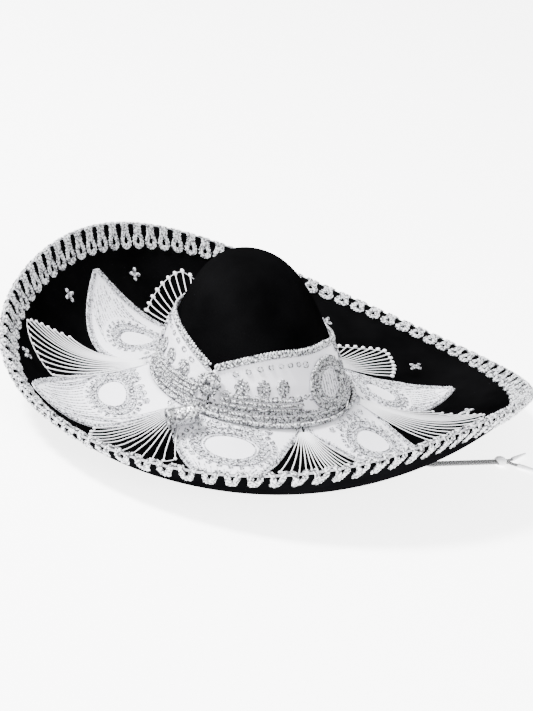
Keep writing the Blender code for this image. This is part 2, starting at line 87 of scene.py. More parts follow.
def brimBase(turn, share):
    radius = footRadius(turn) + (brimRadius(turn) - footRadius(turn)) * share
    height = np.maximum(footZ + brimRise(turn, share), 0)
    return np.stack([radius * np.cos(turn), radius * np.sin(turn) + crownY, height], -1)


def brimFrame(turn, share):
    turn, share = np.broadcast_arrays(np.asarray(turn, float), np.asarray(share, float))
    outward = unit(brimBase(turn, share + 0.01) - brimBase(turn, share - 0.01))
    sideways = unit(brimBase(turn + 0.01, share) - brimBase(turn - 0.01, share))
    return brimBase(turn, share), outward, unit(np.cross(outward, sideways))


def onBrim(turn, share, lift=0.0, reach=0.0):
    point, outward, normal = brimFrame(turn, share)
    return point + normal * np.asarray(lift)[..., None] + outward * np.asarray(reach)[..., None]


def slopeLength(turn):
    points = brimBase(turn, np.linspace(0, 1, 40))
    return float(np.linalg.norm(np.diff(points, axis=0), axis=1).sum())


def crownBase(turn, height, inset=0.0):
    level = np.clip(height / (hat["crownHeight"] - inset), 0, 1)
    radius = (footRadius(turn) - inset) * (1 - level ** hat["risePower"]) ** (1 / hat["widthPower"])
    x = radius * np.cos(turn) + hat["crownLean"][0] * level
    y = radius * np.sin(turn) + hat["crownLean"][1] * level + crownY
    return np.stack([x, y, footZ + height + 0 * turn], -1)


def crownNormal(turn, height):
    turn, height = np.broadcast_arrays(np.asarray(turn, float), np.asarray(height, float))
    upward = crownBase(turn, height + 0.002) - crownBase(turn, np.maximum(height - 0.002, 0))
    sideways = crownBase(turn + 0.01, height) - crownBase(turn - 0.01, height)
    return unit(np.cross(sideways, upward))


def onCrown(turn, height, lift=0.0):
    turn, height = np.broadcast_arrays(np.asarray(turn, float), np.asarray(height, float))
    return crownBase(turn, height) + crownNormal(turn, height) * np.asarray(lift)[..., None]


# Shader maths: a socket that can be added, multiplied and compared.
class Tone:
    def __init__(self, paint, socket):
        self.paint = paint
        self.socket = socket

    def math(self, operation, other=None):
        values = [self] if other is None else [self, other]
        return self.paint.node("ShaderNodeMath", {"operation": operation}, dict(enumerate(values)))

    def __add__(self, other):
        return self.math("ADD", other)

    def __sub__(self, other):
        return self.math("SUBTRACT", other)

    def __rsub__(self, other):
        return self.math("MULTIPLY", -1.0) + other

    def __mul__(self, other):
        return self.math("MULTIPLY", other)

    def __lt__(self, other):
        return self.math("LESS_THAN", other)

    __radd__ = __add__
    __rmul__ = __mul__


class Paint:
    # One material and the nodes that feed it.
    def __init__(self, name, **fixed):
        self.material = bpy.data.materials.new(name)
        self.material.use_nodes = True
        self.tree = self.material.node_tree
        self.shader = self.tree.nodes["Principled BSDF"]
        for key, value in fixed.items():
            self.shader.inputs[key.replace("_", " ")].default_value = value

    def node(self, kind, settings=None, values=None, output=0):
        made = self.tree.nodes.new(kind)
        for key, value in (settings or {}).items():
            if key == "stops":
                for i, (place, color) in enumerate(value):
                    stop = made.color_ramp.elements[i] if i < 2 else made.color_ramp.elements.new(place)
                    stop.position = place
                    stop.color = (*color, 1.0)
            else:
                setattr(made, key, value)
        for key, value in (values or {}).items():
            self.feed(made.inputs[key], value)
        return Tone(self, made.outputs[output])

    def feed(self, target, value):
        if isinstance(value, Tone):
            self.tree.links.new(value.socket, target)
        else:
            target.default_value = value

    def spot(self):
        return self.node("ShaderNodeTexCoord", output="Object")

    def along(self):
        # u runs along a cord in millimetres, v round it from 0 to 1
        pair = self.node("ShaderNodeSeparateXYZ", values={0: self.node("ShaderNodeUVMap")})
        return Tone(self, pair.socket.node.outputs[0]), Tone(self, pair.socket.node.outputs[1])

    def noise(self, scale, detail=3.0):
        return self.node("ShaderNodeTexNoise", values={
            "Vector": self.spot(), "Scale": scale, "Detail": detail, "Roughness": 0.55})

    def ramp(self, value, stops):
        return self.node("ShaderNodeValToRGB", {"stops": stops}, {0: value})

    def mix(self, share, first, second):
        wide = [(*color, 1.0) if isinstance(color, tuple) else color for color in (first, second)]
        return self.node("ShaderNodeMix", {"data_type": "RGBA"},
                         {0: share, 6: wide[0], 7: wide[1]}, output=2)

    def set(self, **values):
        for key, value in values.items():
            self.feed(self.shader.inputs[key.replace("_", " ")], value)

    def bump(self, height, distance, strength=1.0):
        made = self.node("ShaderNodeBump", values={
            "Height": height, "Distance": distance, "Strength": strength})
        self.feed(self.shader.inputs["Normal"], made)
        return self.material


def wave(tone, cycles=1.0):
    return (tone * (cycles * math.tau)).math("SINE") * 0.5 + 0.5


def shade(color, share):
    return tuple(part * share for part in color)


def velvet(name, color):
    paint = Paint(name, Specular_IOR_Level=0.0)
    # painted sheen: soft patches where the base colour is lighter and darker, in place of the pile's sheen
    sheenPatches = paint.noise(14.0, 3.0)
    pile = paint.noise(900.0, 2.0)
    paint.set(Base_Color=paint.ramp(sheenPatches, [(0.32, shade(color, 0.55)), (0.72, shade(color, 1.9))]),
              Roughness=0.82 + 0.15 * pile)
    return paint.bump(pile + 0.5 * paint.noise(2600.0, 1.0), 0.0004, 0.6)


def satin(name, color, gloss):
    paint = Paint(name, Sheen_Weight=0.25, Sheen_Roughness=0.3, Specular_IOR_Level=0.5)
    cloud = paint.noise(38.0, 2.0)
    paint.set(Base_Color=paint.mix(cloud, shade(color, 0.90), color), Roughness=gloss + 0.16 * cloud)
    yarn = paint.noise(1500.0, 1.0)
    return paint.bump(yarn * 0.4 + paint.noise(120.0, 2.0), 0.0006, 0.5)


foil = {"turn": 0.9, "shadeScale": 430.0, "beat": 0.30, "beatDepth": 0.10, "cover": 0.94,
        "shadow": (0.025, 0.025, 0.03)}


def metalThread(name, color, shadeShare, metallic):
    # Foil-wrapped thread: fine turns along each strand, and painted shade in dark patches between them
    paint = Paint(name, Specular_IOR_Level=0.6)
    u, v = paint.along()
    turns = wave(u * (1 / foil["turn"]) + v)
    grain = paint.noise(900.0, 2.0)
    # painted shade: random dark patches with a regular beat along the strand mix the shadow colour in and
    # take away metallic
    beat = foil["beatDepth"] * wave(u * foil["beat"]) - foil["beatDepth"] / 2
    paintedShade = (paint.noise(foil["shadeScale"], 1.0) + beat < shadeShare) * foil["cover"]
    tint = paint.mix(grain, shade(color, 0.82), color)
    paint.set(Base_Color=paint.mix(paintedShade, tint, foil["shadow"]), Metallic=metallic * (1 - paintedShade),
              Roughness=0.24 + 0.25 * grain)
    return paint.bump(turns + grain * 0.6, 0.00035, 0.7)


def plainThread(name, color):
    paint = Paint(name, Sheen_Weight=0.2, Specular_IOR_Level=0.4)
    u, v = paint.along()
    twist = wave(u * 1.1 + v)
    # painted shade: the colour is darker in the grooves of the twist, on the same wave as the bump
    paint.set(Base_Color=paint.mix(twist, shade(color, 0.86), color),
              Roughness=0.42 + 0.2 * twist)
    return paint.bump(twist, 0.0002, 0.6)


def leather(name, color):
    paint = Paint(name, Specular_IOR_Level=0.35)
    grain = paint.node("ShaderNodeTexVoronoi", {"feature": "DISTANCE_TO_EDGE"},
                       {"Vector": paint.spot(), "Scale": 900.0})
    wear = paint.noise(40.0, 3.0)
    paint.set(Base_Color=paint.mix(wear, shade(color, 0.6), color),
              Roughness=0.45 + 0.25 * wear)
    return paint.bump(grain, 0.0006, 0.6)


def lining(name, color):
    paint = Paint(name, Sheen_Weight=0.2)
    place = paint.node("ShaderNodeSeparateXYZ", values={0: paint.spot()})
    links = place.socket.node.outputs
    slant = Tone(paint, links[0]) + Tone(paint, links[1])
    weave = wave(slant, 700.0) * wave(Tone(paint, links[2]), 700.0)
    # painted shade: the colour is darker in the low parts of the weave, on the same pattern as the bump
    paint.set(Base_Color=paint.mix(weave, shade(color, 0.55), color), Roughness=0.85)
    return paint.bump(weave, 0.0003, 0.5)


def lame(name, color):
    # Crinkled metallic cloth
    paint = Paint(name, Specular_IOR_Level=0.7)
    crease = paint.node("ShaderNodeTexVoronoi", {}, {"Vector": paint.spot(), "Scale": 420.0})
    grain = paint.noise(300.0, 3.0)
    tint = paint.mix(grain, shade(color, 0.5), color)
    # painted shade: random near-black patches stand in for the shade in the crinkles
    paint.set(Base_Color=paint.mix((paint.noise(330.0, 1.0) < 0.47) * 0.85, tint, (0.05, 0.05, 0.055)),
              Metallic=0.55 + 0.35 * grain, Roughness=0.22 + 0.3 * grain)
    return paint.bump(crease + grain, 0.0009, 0.8)


def moulded(name, color, roughness):
    paint = Paint(name, Specular_IOR_Level=0.5)
    film = paint.noise(180.0, 3.0)
    paint.set(Base_Color=paint.mix(film, shade(color, 0.93), color),
              Roughness=roughness + 0.12 * film)
    return paint.bump(film, 0.00008, 0.4)


def cutStone(name):
    paint = Paint(name, Specular_IOR_Level=0.9)
    flash = paint.noise(700.0, 1.0)
    paint.set(Base_Color=paint.ramp(flash, [(0.35, (0.09, 0.09, 0.10)), (0.62, (0.9, 0.9, 0.95))]),
              Metallic=0.75, Roughness=0.08 + 0.15 * flash)
    return paint.bump(flash, 0.0002, 0.3)


finishes = {
    "black_velvet": velvet("blackVelvet", (0.0012, 0.0012, 0.0013)),
    "brim_lining": velvet("underVelvet", (0.0012, 0.0012, 0.0014)),
    "lining_cloth": lining("liningCloth", (0.10, 0.10, 0.11)),
    "sweatband_leather": leather("sweatbandLeather", (0.16, 0.09, 0.05)),
    "edge_wire": moulded("edgeWire", (0.35, 0.35, 0.37), 0.3),
    "silver_braid": metalThread("silverBraid", (0.86, 0.87, 0.90), 0.485, 0.25),
    "white_satin": satin("petalSatin", (0.90, 0.895, 0.95), 0.34),
    "white_thread": plainThread("fanThread", (0.90, 0.90, 0.93)),
    "silver_thread": metalThread("silverThread", (0.80, 0.81, 0.85), 0.50, 0.2),
    "band_satin": satin("bandSatin", (0.91, 0.90, 0.96), 0.28),
    "silver_cord": metalThread("silverCord", (0.84, 0.85, 0.88), 0.50, 0.35),
    "silver_rope": metalThread("silverRope", (0.82, 0.83, 0.85), 0.50, 0.35),
    "medallion_silver": metalThread("medallionCord", (0.82, 0.83, 0.85), 0.49, 0.35),
    "lame_roll": lame("lameRoll", (0.84, 0.85, 0.87)),
    "chin_cord": plainThread("cordWhite", (0.42, 0.42, 0.43)),
    "anchor_leather": leather("anchorLeather", (0.05, 0.05, 0.055)),
    "cord_tip": moulded("tipPlastic", (0.86, 0.86, 0.88), 0.3),
    "slider_bead": moulded("beadPlastic", (0.88, 0.88, 0.90), 0.25),
    "stone": cutStone("cutStone"),
    "cordDark": plainThread("cordBlack", (0.015, 0.015, 0.017)),
    "petalStitch": metalThread("petalStitch", (0.80, 0.81, 0.86), 0.475, 0.15),
}


def runAlong(path):
    return np.concatenate([[0], np.cumsum(np.linalg.norm(np.diff(path, axis=0), axis=1))])


def pathFrame(path, normals, closed):
    path = np.asarray(path, float)
    step = np.roll(path, -1, 0) - np.roll(path, 1, 0) if closed else np.gradient(path, axis=0)
    tangent = unit(step)
    side = unit(np.cross(np.broadcast_to(normals, path.shape), tangent))
    return path, side, np.cross(tangent, side)


def windings(path, lay, closed, strands):
    # Angle of each strand along a path; on a closed one a whole number of turns fits
    run = runAlong(path)
    if closed:
        whole = run[-1] + np.linalg.norm(path[0] - path[-1])
        lay = whole / max(round(whole / lay), 1)
    return [(run / lay + k / strands) * math.tau for k in range(strands)]


class Skin:
    # Collects surfaces and becomes one mesh object that rides on a body.
    def __init__(self):
        self.points = []
        self.faces = []
        self.uvs = []
        self.kinds = []
        self.count = 0
        self.kind = 0

    def grid(self, points, closeRows=False, closeCols=False, uv=None, caps=False):
        rows, cols = points.shape[:2]
        index = np.arange(rows * cols).reshape(rows, cols) + self.count
        down = np.roll(index, -1, 0) if closeRows else index[1:]
        here = index if closeRows else index[:-1]
        if not closeCols:
            quads = np.stack([here[:, :-1], here[:, 1:], down[:, 1:], down[:, :-1]], -1)
        else:
            quads = np.stack([here, np.roll(here, -1, 1), np.roll(down, -1, 1), down], -1)
        quads = quads.reshape(-1, 4)
        self.points.append(points.reshape(-1, 3))
        self.faces.extend(quads.tolist())
        if uv is None:
            uv = np.stack(np.meshgrid(np.arange(rows), np.arange(cols), indexing="ij"), -1) * 1.0
        self.uvs.append(uv.reshape(-1, 2))
        self.kinds.extend([self.kind] * len(quads))
        if caps:
            self.faces.extend([index[0][::-1].tolist(), index[-1].tolist()])
            self.kinds.extend([self.kind] * 2)
        self.count += rows * cols

    def bar(self, path, normals, width, height=None, sides=6, closed=False):
        # Round or flattened cord along a path; width and height are radii
        path, side, up = pathFrame(path, normals, closed)
        height = width if height is None else height
        angle = np.arange(sides) * math.tau / sides
        width = np.broadcast_to(width, len(path))[:, None, None]
        height = np.broadcast_to(height, len(path))[:, None, None]
        ring = (side[:, None] * np.cos(angle)[None, :, None] * width
                + up[:, None] * np.sin(angle)[None, :, None] * height + path[:, None])
        uv = np.stack(np.broadcast_arrays(runAlong(path)[:, None] * 1000, (angle / math.tau)[None]), -1)
        self.grid(ring, closeRows=closed, closeCols=True, uv=uv, caps=not closed)

    def twist(self, path, normals, radius, strands, lay, closed=False):
        # Strands laid round each other, as in a rope
        path, side, up = pathFrame(path, normals, closed)
        strandRadius = radius / (1 + 1 / math.sin(math.pi / strands)) if strands > 2 else radius / 2
        reach = radius - strandRadius
        for angle in windings(path, lay, closed, strands):
            centre = path + side * (np.cos(angle) * reach)[:, None] + up * (np.sin(angle) * reach)[:, None]
            self.bar(centre, up, strandRadius * 1.06, sides=5, closed=closed)

    def plait(self, path, normals, halfWidth, rise, strand, lay, closed=False):
        # Flat braid: strands cross from edge to edge over and under each other
        path, side, up = pathFrame(path, normals, closed)
        for angle in windings(path, lay, closed, 3):
            centre = (path + side * (np.sin(angle) * halfWidth)[:, None]
                      + up * (np.sin(2 * angle) * rise)[:, None])
            self.bar(centre, up, strand * 1.25, strand, 5, closed)

    def bead(self, centre, axes, sizes, rings=5, sides=8):
        # Rounded knob; axes are three directions and sizes its three radii
        tilt = np.linspace(math.pi - 0.12, 0.12, rings)
        angle = np.arange(sides) * math.tau / sides
        local = np.stack([
            np.cos(tilt)[:, None] + 0 * angle[None],
            np.sin(tilt)[:, None] * np.cos(angle)[None],
            np.sin(tilt)[:, None] * np.sin(angle)[None]], -1) * np.asarray(sizes)
        self.grid(local @ np.asarray(axes) + centre, closeCols=True, caps=True)

    def build(self, name, slot, body, replaced=(), extra=(), finish=None):
        data = bpy.data.meshes.new(name)
        points = np.concatenate(self.points)
        data.from_pydata(points.tolist(), [], self.faces)
        uv = np.concatenate(self.uvs)
        layer = data.uv_layers.new(name="UVMap")
        loops = np.empty(len(data.loops), dtype=np.int32)
        data.loops.foreach_get("vertex_index", loops)
        layer.data.foreach_set("uv", uv[loops].astype(np.float32).ravel())
        data.materials.append(finishes[finish or slot])
        for other in extra:
            data.materials.append(finishes[other])
        if extra:
            data.polygons.foreach_set("material_index", self.kinds)
        data.shade_smooth()
        data.validate()
        data.update()
        piece = bpy.data.objects.new(name, data)
        bpy.context.scene.collection.objects.link(piece)
        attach(piece, body)
        if replaced:
            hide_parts(*replaced)
        return piece


# Camera, floor and light
camera = {"rise": 0.402, "swing": -1.062, "distance": 2.0575, "roll": 0.2395, "lens": 106.633,
          "shift": (0.01807, 0.0353), "target": 0.005}
studio = {"worldStrength": 1.25, "floorGlow": 4.5, "floorReach": 40.0,
          "lamps": (("keyLight", (-1.5, -1.2, 2.6), 420, 0.6), ("backLight", (2.0, -1.4, 1.6), 70, 1.0))}


def addCamera():
    rise, swing = camera["rise"], camera["swing"]
    away = Vector((math.cos(rise) * math.cos(swing), math.cos(rise) * math.sin(swing), math.sin(rise)))
    right = Vector((-math.sin(swing), math.cos(swing), 0))
    up = away.cross(right)
    straight, tipped = math.cos(camera["roll"]), math.sin(camera["roll"])
    right, up = right * straight + up * tipped, up * straight - right * tipped
    data = bpy.data.cameras.new("viewCamera")
    view = bpy.data.objects.new("viewCamera", data)
    bpy.context.scene.collection.objects.link(view)
    place = Vector((0, crownY, footZ + camera["target"])) + away * camera["distance"]
    view.matrix_world = Matrix.Translation(place) @ Matrix((right, up, away)).transposed().to_4x4()
    data.sensor_width = 36.0
    data.lens = camera["lens"]
    data.shift_x, data.shift_y = camera["shift"]
    bpy.context.scene.camera = view


def addStudio():
    paint = Paint("paleFloor", Roughness=0.9, Specular_IOR_Level=0.1)
    tint = paint.mix(paint.noise(3.0), (0.93, 0.93, 0.93), (0.95, 0.95, 0.95))
    paint.set(Base_Color=tint, Emission_Color=tint)
    paint.shader.inputs["Emission Strength"].default_value = studio["floorGlow"]
    floor = bpy.data.meshes.new("floor")
    corners = ((-1, -1), (1, -1), (1, 1), (-1, 1))
    floor.from_pydata([(x * studio["floorReach"], y * studio["floorReach"], 0) for x, y in corners],
                      [], [(0, 1, 2, 3)])
    floor.materials.append(paint.material)
    ground = bpy.data.objects.new("floor", floor)
    bpy.context.scene.collection.objects.link(ground)
    world = bpy.data.worlds.new("studio")
    bpy.context.scene.world = world
    world.use_nodes = True
    sky = world.node_tree.nodes["Background"]
    sky.inputs["Color"].default_value = (1, 1, 1, 1)
    sky.inputs["Strength"].default_value = studio["worldStrength"]
    for name, place, power, size in studio["lamps"]:
        light = bpy.data.lights.new(name, "AREA")
        light.energy = power
        light.size = size
        lamp = bpy.data.objects.new(name, light)
        bpy.context.scene.collection.objects.link(lamp)
        lamp.location = place
        lamp.rotation_euler = (-Vector(place)).to_track_quat("-Z", "Y").to_euler()


# Chin cords
strap = {
    "radius": 0.0017, "floor": 0.0021, "beadZ": 0.0039, "spread": 0.0021, "step": 0.0008,
    "beadPlace": (0.2182, 0.1322), "heading": 62.0, "run": 0.075, "drop": 0.0008,
    "core": 0.72, "strand": 0.26, "strands": 4, "lay": 0.0085, "tipWide": 0.0023,
    # how far along the tip, and how wide there
    "tip": ((0.0, 0.45), (0.0002, 0.85), (0.0012, 1.0), (0.0030, 1.0), (0.0034, 0.86), (0.0042, 0.84),
            (0.0046, 0.95), (0.0080, 0.86), (0.0140, 0.68), (0.0200, 0.52), (0.0250, 0.42), (0.0260, 0.2)),
}


def place(x, y, z):
    return Vector((x, y + crownY, z))


def beadSide(run, sideways, drop=0.0):
    heading = math.radians(strap["heading"])
    along = Vector((math.cos(heading), math.sin(heading), 0))
    across = Vector((along.y, -along.x, 0))
    centre = place(*strap["beadPlace"], strap["beadZ"])
    return centre + along * run + across * sideways - Vector((0, 0, drop))


def strapRoutes():
    floor, spread, run, drop = strap["floor"], strap["spread"], strap["run"], strap["drop"]
    left = [place(0.0770, 0.0, footZ - 0.0065), place(0.0770, 0.0005, footZ - 0.012),
            place(0.0770, 0.012, 0.0045), place(0.072, 0.035, floor), place(0.045, 0.064, floor),
            place(0.010, 0.070, floor), place(-0.008, 0.052, floor), place(0.010, 0.028, floor),
            place(0.045, 0.006, floor), place(0.080, -0.006, floor), place(0.110, 0.010, floor),
            place(0.145, 0.036, floor), beadSide(-run - 0.010, -spread - 0.0003),
            beadSide(-run, -spread), beadSide(-run / 2, -spread),
            beadSide(0.0, -spread), beadSide(0.008, -spread), beadSide(0.014, -0.0034, drop),
            beadSide(0.018, -0.0050, drop)]
    right = [place(-0.0808, 0.0, footZ - 0.0065), place(-0.0808, -0.0005, footZ - 0.012),
             place(-0.0800, -0.012, 0.0045), place(-0.070, -0.040, floor),
             place(-0.042, -0.074, floor), place(0.0, -0.086, floor), place(0.042, -0.074, floor),
             place(0.070, -0.044, floor), place(0.090, -0.016, floor), place(0.117, 0.005, floor),
             place(0.151, 0.032, floor), beadSide(-run - 0.010, spread + 0.0003),
             beadSide(-run, spread), beadSide(-run / 2, spread),
             beadSide(0.0, spread), beadSide(0.008, spread), beadSide(0.013, 0.0042, drop),
             beadSide(0.0165, 0.0070, drop)]
    return left, right


def smoothRoute(knots, step):
    # Catmull-Rom curve through the route's points, at even steps
    knots = np.array([tuple(knot) for knot in knots])
    ends = np.concatenate([[2 * knots[0] - knots[1]], knots, [2 * knots[-1] - knots[-2]]])
    t = (np.arange(24) / 24)[:, None]
    fine = []
    for before, start, stop, after in zip(ends, ends[1:], ends[2:], ends[3:]):
        fine.append(0.5 * (2 * start + (stop - before) * t
                           + (2 * before - 5 * start + 4 * stop - after) * t ** 2
                           + (3 * start - before - 3 * stop + after) * t ** 3))
    fine = np.concatenate(fine + [knots[-1:]])
    run = runAlong(fine)
    target = np.linspace(0, run[-1], max(int(run[-1] / step), 8))
    return np.stack([np.interp(target, run, fine[:, i]) for i in range(3)], -1)


def addTip(label, end, heading):
    tip = Skin()
    spine = np.array([end + heading * (0.0003 + reach) for reach, _ in strap["tip"]])
    widths = np.array([share * strap["tipWide"] for _, share in strap["tip"]])
    tip.bar(spine, np.array([0, 0, 1.0]), widths, sides=14)
    return tip.build(f"cordTip_{label}", "cord_tip", "hat", [f"cord_tip_{label}"])


def addStraps():
    for label, route in zip(("left", "right"), strapRoutes()):
        path = smoothRoute(route, strap["step"])
        run = runAlong(path)
        tangent = unit(np.gradient(path, axis=0))
        helper = np.where(np.abs(tangent[:, 2:]) > 0.9, [[1.0, 0, 0]], [[0, 0, 1.0]])
        side = unit(np.cross(helper, tangent))
        up = np.cross(tangent, side)
        skin = Skin()
        skin.kind = 1
        skin.bar(path[::3], up[::3], strap["radius"] * strap["core"], sides=8)
        strand = strap["radius"] * strap["strand"]
        for hand in (1, -1):
            skin.kind = 0 if hand > 0 else 1
            for k in range(strap["strands"]):
                angle = hand * (run / strap["lay"]) * math.tau + k * math.tau / strap["strands"]
                over = np.cos(angle * 2 + k * math.pi) * strand * 0.35
                outward = side * np.cos(angle)[:, None] + up * np.sin(angle)[:, None]
                line = path + outward * (strap["radius"] - strand * 1.35 + over)[:, None]
                skin.bar(line, outward, strand * 1.5, strand, sides=5)
        cordPiece = skin.build(f"chinCord_{label}", "chin_cord", "hat", [f"chin_cord_{label}"], ["cordDark"])
        riders = [addTip(label, path[-1], unit(path[-1] - path[-4]))]
        if label == "left":
            riders.append(frame["nodes"]["slider_bead"])
        print("chin cord", label, "length", round(float(run[-1]), 4))


print("camera and cords")
addCamera()
addStudio()
addStraps()


# Velvet crown, brim, lining and sweatband
shell = {"around": 144, "crownRows": 40, "brimRows": 44}


def ringTurns(count):
    return np.arange(count) * math.tau / count


def domeRows(inset, rows):
    height = hat["crownHeight"] - inset
    level = height * np.sin(np.linspace(0, 0.9999, rows) * math.pi / 2) ** (2 / hat["risePower"])
    turn = ringTurns(shell["around"])
    return np.stack([crownBase(turn, np.full_like(turn, each), inset) for each in level])


def addDome(name, slot, node, inset, thickness):
    outside = domeRows(inset, shell["crownRows"])
    inside = domeRows(inset + thickness, shell["crownRows"])
    skin = Skin()
    skin.grid(np.concatenate([inside[::-1], outside]), closeCols=True, caps=True)
    return skin.build(name, slot, "hat", [node])


def addLayer(name, slot, node, lift, thickness):
    # One layer of the brim: down the inner edge, across, round the rim and back
    share = np.linspace(0, 1, shell["brimRows"])
    turn = ringTurns(shell["around"] * 2)
    top = [onBrim(turn, np.full_like(turn, s), np.full_like(turn, lift + thickness)) for s in share]
    edge = [onBrim(turn, np.ones_like(turn), np.full_like(turn, lift + thickness / 2),
                   np.full_like(turn, thickness / 2))]
    under = [onBrim(turn, np.full_like(turn, s), np.full_like(turn, lift)) for s in share[::-1]]
    skin = Skin()
    skin.grid(np.stack(top + edge + under)[:, ::-1], closeRows=True, closeCols=True)
    return skin.build(name, slot, "hat", [node])


def addVelvet():
    addDome("crownVelvet", "black_velvet", "crown_shell", 0.0006, 0.0025)
    addDome("crownLining", "lining_cloth", "crown_lining", 0.0053, 0.0008)
    addLayer("brimTopVelvet", "black_velvet", "brim_top", hat["topLift"], hat["topLayer"])
    addLayer("brimUnderVelvet", "brim_lining", "brim_under", 0.0, hat["underLayer"])
    turn = ringTurns(shell["around"])
    rows = []
    for height, inset in ((0.0, 0.0067), (0.014, 0.0067), (0.027, 0.0067), (0.028, 0.0072),
                          (0.027, 0.0081), (0.014, 0.0081), (0.0, 0.0081), (-0.0006, 0.0074)):
        rows.append(crownBase(turn, np.full_like(turn, max(height, 0)), inset) + [0, 0, min(height, 0)])
    skin = Skin()
    skin.grid(np.stack(rows), closeRows=True, closeCols=True)
    for height in (0.003, 0.0252):
        line = crownBase(turn, np.full_like(turn, height), 0.0082)
        skin.bar(line, crownNormal(turn, height), 0.0003, sides=5, closed=True)
    skin.build("sweatband", "sweatband_leather", "hat", ["sweatband"])


print("velvet")
addVelvet()


# Looped braid folded over the edge
braid = {
    "loops": 87, "length": 0.0180, "outerLength": 0.0140, "halfCord": 0.0022, "strand": 0.00078,
    "rise": 0.0006, "lay": 0.0085, "wrap": 0.0036, "stand": 0.0014,
    # half of one loop as shares of the pitch and of the length, inside and outside the edge
    "inside": ((0.25, 0.0), (0.155, 0.20), (0.135, 0.44), (0.19, 0.60), (0.29, 0.76), (0.27, 0.92),
               (0.12, 1.0)),
    "outside": ((0.20, 0.22), (0.150, 0.46), (0.132, 0.76), (0.085, 0.96)),
}


def rimRuler(count=1440):
    turn = np.linspace(0, math.tau, count + 1)
    return turn, runAlong(onBrim(turn, np.ones_like(turn)))


def wrapEdge(u, v, turns, run, widths):
    # u runs round the rim in metres; v runs over the edge, outside negative
    turn = np.interp(np.mod(u, run[-1]), run, turns)
    width = np.interp(turn, *widths)
    inside = np.clip(np.abs(v) - braid["wrap"], 0, None)
    bend = np.clip(v / braid["wrap"], -1, 1) * math.pi / 2
    middle = (hat["topLift"] + hat["topLayer"]) / 2
    lift = middle + (middle + braid["stand"]) * np.sin(bend)
    reach = (braid["stand"] + 0.0012) * np.cos(bend)
    share = 1 - inside / width
    point = onBrim(turn, share, lift, reach)
    _, outward, normal = brimFrame(turn, share)
    face = normal * np.sin(bend)[:, None] + outward * np.cos(bend)[:, None]
    return point, face


def addBraid():
    turns, run = rimRuler()
    samples = np.linspace(0, math.tau, 73)
    widths = (samples, np.array([slopeLength(turn) for turn in samples]))
    pitch = run[-1] / braid["loops"]
    reach = braid["length"]
    drop = braid["outerLength"]
    knots = []
    for i in range(braid["loops"]):
        inner = [(-x * pitch, y * reach) for x, y in braid["inside"]] + [(0.0, reach * 1.02)]
        inner += [(x * pitch, y * reach) for x, y in reversed(braid["inside"])]
        outer = [((0.5 - x) * pitch, -y * drop) for x, y in braid["outside"]] + [(0.5 * pitch, -drop)]
        outer += [((0.5 + x) * pitch, -y * drop) for x, y in reversed(braid["outside"])]
        knots += [Vector((i * pitch + x, y, 0)) for x, y in inner + outer]
    start = knots[0].copy()
    knots.append(Vector((start.x + run[-1], start.y, 0)))
    flat = smoothRoute(knots, 0.0011)[:-1]
    path, face = wrapEdge(flat[:, 0], flat[:, 1], turns, run, widths)
    skin = Skin()
    skin.plait(path, face, braid["halfCord"], braid["rise"], braid["strand"], braid["lay"], True)
    skin.build("rimBraid", "silver_braid", "hat", ["rim_braid"])


print("edge braid")
addBraid()


# Satin petals with their stitched borders and wreaths
petal = {
    # direction of the middle and swing of the tip in degrees, end, half width, flowers' share,
    # wreath's share, taper, wreath's half sizes
    "places": ((10.0, -5.0, 0.76, 0.058, 0.78, 0.26, 2.0, 0.036, 0.040),
               (64.0, -1.0, 0.745, 0.049, 0.72, 0.26, 2.8, 0.036, 0.034),
               (119.0, 2.0, 0.78, 0.051, 0.76, 0.27, 2.6, 0.041, 0.037),
               (184.0, -9.0, 0.865, 0.064, 0.815, 0.33, 3.4, 0.034, 0.046),
               (237.0, 7.0, 0.85, 0.056, 0.838, 0.27, 4.2, 0.043, 0.029),
               (296.0, 2.0, 0.62, 0.060, 0.80, 0.19, 2.0, 0.043, 0.029)),
    "start": 0.012, "sector": 36.0, "flare": 0.014, "flareEnd": 0.18, "overlap": 0.0005,
    "lift": 0.0046, "puff": 0.0012, "border": 0.0058,
    # stitches: radii and steps along the edge
    "edgeCord": 0.0012, "innerCord": 0.0008, "stitch": 0.00065, "stitchStep": 0.0027, "dotStep": 0.0042,
    "rings": ((0.86, 0.0013), (0.64, 0.0013), (0.55, 0.0008)), "ripples": 18,
    "rays": 19, "ray": 0.00052, "rayStart": 1.16, "raySpread": 0.72,
    "leaves": 26, "leafReach": 0.99, "leafPair": ((0.75, 0.0028), (-0.75, 0.0025)),
    "curls": ((0.008, 0.0046), (0.019, 0.0052), (0.031, 0.0042)),
}


def sheetRadius(middle, share):
    turn = np.radians(middle[0] + middle[1] * share)
    return turn, footRadius(turn) + (brimRadius(turn) - footRadius(turn)) * share


def patchPoint(middle, x, share, lift):
    # Local sheet on the brim: x metres sideways from a middle line that may swing
    x, share = np.broadcast_arrays(np.asarray(x, float), np.asarray(share, float))
    turn, radius = sheetRadius(middle, share)
    return onBrim(turn + x / radius, share, np.broadcast_to(lift, x.shape))


def patchNormal(middle, x, share):
    x, share = np.broadcast_arrays(np.asarray(x, float), np.asarray(share, float))
    turn, radius = sheetRadius(middle, share)
    return brimFrame(turn + x / radius, share)[2]


def layCord(skin, points, normals, radius, closed=False, kind="bar", sides=5, **rest):
    if kind == "twist":
        skin.twist(points, normals, radius, rest["strands"], rest["lay"], closed)
    elif kind == "plait":
        skin.plait(points, normals, radius, rest["rise"], rest["strand"], rest["lay"], closed)
    else:
        skin.bar(points, normals, radius, sides=sides, closed=closed)


def patchLine(skin, middle, x, share, lift, radius, **how):
    points = patchPoint(middle, x, share, lift)
    layCord(skin, points, patchNormal(middle, x, share), radius, **how)


